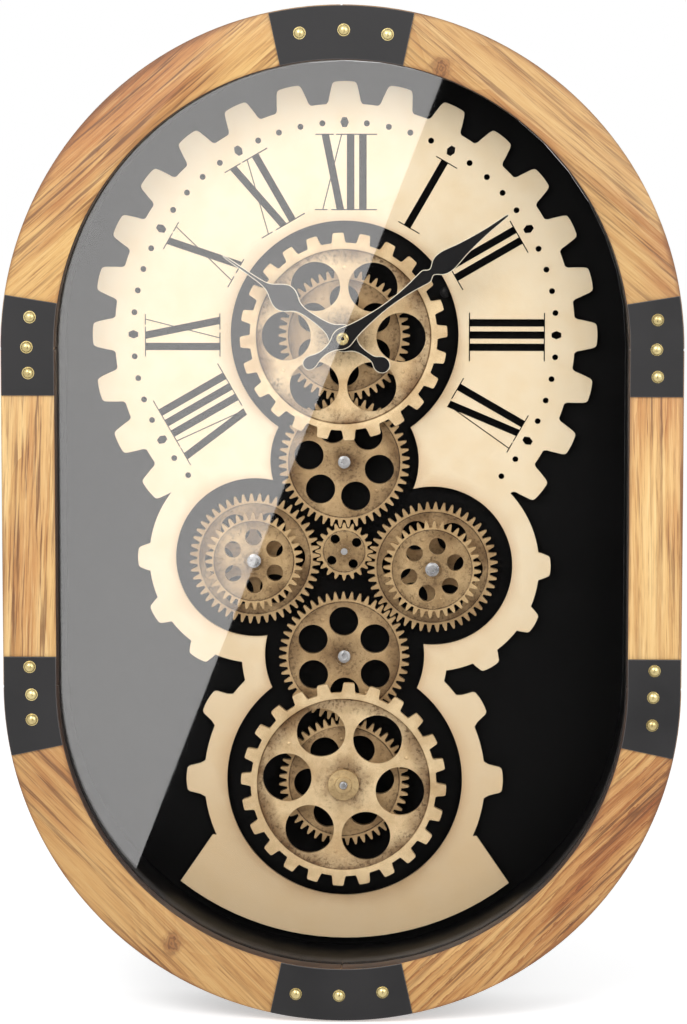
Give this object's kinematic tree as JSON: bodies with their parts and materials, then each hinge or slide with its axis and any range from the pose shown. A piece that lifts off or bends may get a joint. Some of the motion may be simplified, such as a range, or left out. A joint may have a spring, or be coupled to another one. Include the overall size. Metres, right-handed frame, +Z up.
{
  "type": "wooden gear wall clock",
  "caption": "Upright stadium-shaped wooden wall clock with a glass front, a gold skeleton dial, two black hands and an open train of turning brass gears.",
  "frame": {"origin": "middle of the clock's back, on the wall, halfway up the case", "axes": "+Z up along the long side of the case, +X to the viewer's right, +Y into the wall; the dial faces -Y"},
  "size_m": [0.4, 0.0854, 0.6],
  "materials": {
    "oak": "clear varnish over a brown stained grain",
    "black_plate": "satin black",
    "clear_glass": "clear, polished",
    "black_board": "matte black paint",
    "dial_gold": "satin champagne gold",
    "antique_brass": "aged brass with dark patina",
    "bright_steel": "bright",
    "black_hand": "satin black with light edges",
    "black_plastic": "moulded, matte",
    "grey_plastic": "moulded, matte",
    "cell_sleeve": "printed sleeve without print",
    "block_wood": "bare softwood"
  },
  "bodies": {
    "case": {"frame_top_right": "oak", "frame_top_left": "oak", "frame_bottom_left": "oak", "frame_bottom_right": "oak", "frame_left_rail": "oak", "frame_right_rail": "oak", "plate_top": "black_plate", "plate_bottom": "black_plate", "plate_upper_right": "black_plate", "plate_upper_left": "black_plate", "plate_lower_right": "black_plate", "plate_lower_left": "black_plate", "glass_pane": "clear_glass", "drum": "black_board", "back_board": "black_board", "dial_plate": "dial_gold", "dial_posts": "bright_steel", "short_studs": "bright_steel", "side_studs": "bright_steel", "bottom_stud": "bright_steel", "neck_nut": "bright_steel", "wall_hanger": "bright_steel", "movement_case": "black_plastic", "gear_motor": "black_plastic", "movement_cell": "cell_sleeve", "motor_cell": "cell_sleeve", "hanger_block": "block_wood"},
    "top_wheel_set": {"top_wheel": "antique_brass", "top_gear": "antique_brass"},
    "second_set": {"second_gear": "antique_brass"},
    "pinion_set": {"pinion": "antique_brass", "motor_shaft": "bright_steel"},
    "left_set": {"left_front_gear": "antique_brass", "left_gear": "antique_brass"},
    "right_set": {"right_front_gear": "antique_brass", "right_gear": "antique_brass"},
    "lower_set": {"lower_gear": "antique_brass"},
    "bottom_wheel_set": {"bottom_wheel": "antique_brass", "bottom_gear": "antique_brass", "bottom_cap": "antique_brass"},
    "hour_set": {"hour_hand": "black_hand"},
    "minute_set": {"minute_hand": "black_hand", "hand_nut": "antique_brass"},
    "knob": {"set_knob": "black_plastic"},
    "switch": {"switch_slider": "grey_plastic"}
  },
  "joints": [
    {"name": "top_wheel_spin", "type": "hinge", "parent": "case", "child": "top_wheel_set", "pos_m": [0, -0.04, 0.1049], "axis": [0, 1, 0], "continuous": true},
    {"name": "second_gear_spin", "type": "hinge", "parent": "case", "child": "second_set", "pos_m": [0, -0.033, 0.02906], "axis": [0, 1, 0], "continuous": true},
    {"name": "pinion_spin", "type": "hinge", "parent": "case", "child": "pinion_set", "pos_m": [0, -0.033, -0.02466], "axis": [0, 1, 0], "continuous": true},
    {"name": "left_gears_spin", "type": "hinge", "parent": "case", "child": "left_set", "pos_m": [-0.05352, -0.04, -0.02926], "axis": [0, 1, 0], "continuous": true},
    {"name": "right_gears_spin", "type": "hinge", "parent": "case", "child": "right_set", "pos_m": [0.05291, -0.04, -0.03396], "axis": [0, 1, 0], "continuous": true},
    {"name": "lower_gear_spin", "type": "hinge", "parent": "case", "child": "lower_set", "pos_m": [0, -0.033, -0.0883], "axis": [0, 1, 0], "continuous": true},
    {"name": "bottom_wheel_spin", "type": "hinge", "parent": "case", "child": "bottom_wheel_set", "pos_m": [0, -0.04, -0.16414], "axis": [0, 1, 0], "continuous": true},
    {"name": "minute_hand_spin", "type": "hinge", "parent": "case", "child": "minute_set", "pos_m": [0, -0.0625, 0.1049], "axis": [0, 1, 0], "continuous": true},
    {"name": "hour_hand_spin", "type": "hinge", "parent": "case", "child": "hour_set", "pos_m": [0, -0.0585, 0.1049], "axis": [0, 1, 0], "continuous": true},
    {"name": "set_knob_spin", "type": "hinge", "parent": "case", "child": "knob", "pos_m": [0, -0.002, 0.1139], "axis": [0, 1, 0], "continuous": true},
    {"name": "switch_slide", "type": "slide", "parent": "case", "child": "switch", "axis": [1, 0, 0], "range_m": [0, 0.003]}
  ],
  "couplings": [
    {"joint": "second_gear_spin", "follows": "top_wheel_spin", "ratio": -1},
    {"joint": "pinion_spin", "follows": "top_wheel_spin", "ratio": 2.4},
    {"joint": "left_gears_spin", "follows": "top_wheel_spin", "ratio": -1},
    {"joint": "right_gears_spin", "follows": "top_wheel_spin", "ratio": -1},
    {"joint": "lower_gear_spin", "follows": "top_wheel_spin", "ratio": 1},
    {"joint": "bottom_wheel_spin", "follows": "top_wheel_spin", "ratio": -1},
    {"joint": "hour_hand_spin", "follows": "minute_hand_spin", "ratio": 0.083333},
    {"joint": "set_knob_spin", "follows": "minute_hand_spin", "ratio": -1}
  ]
}
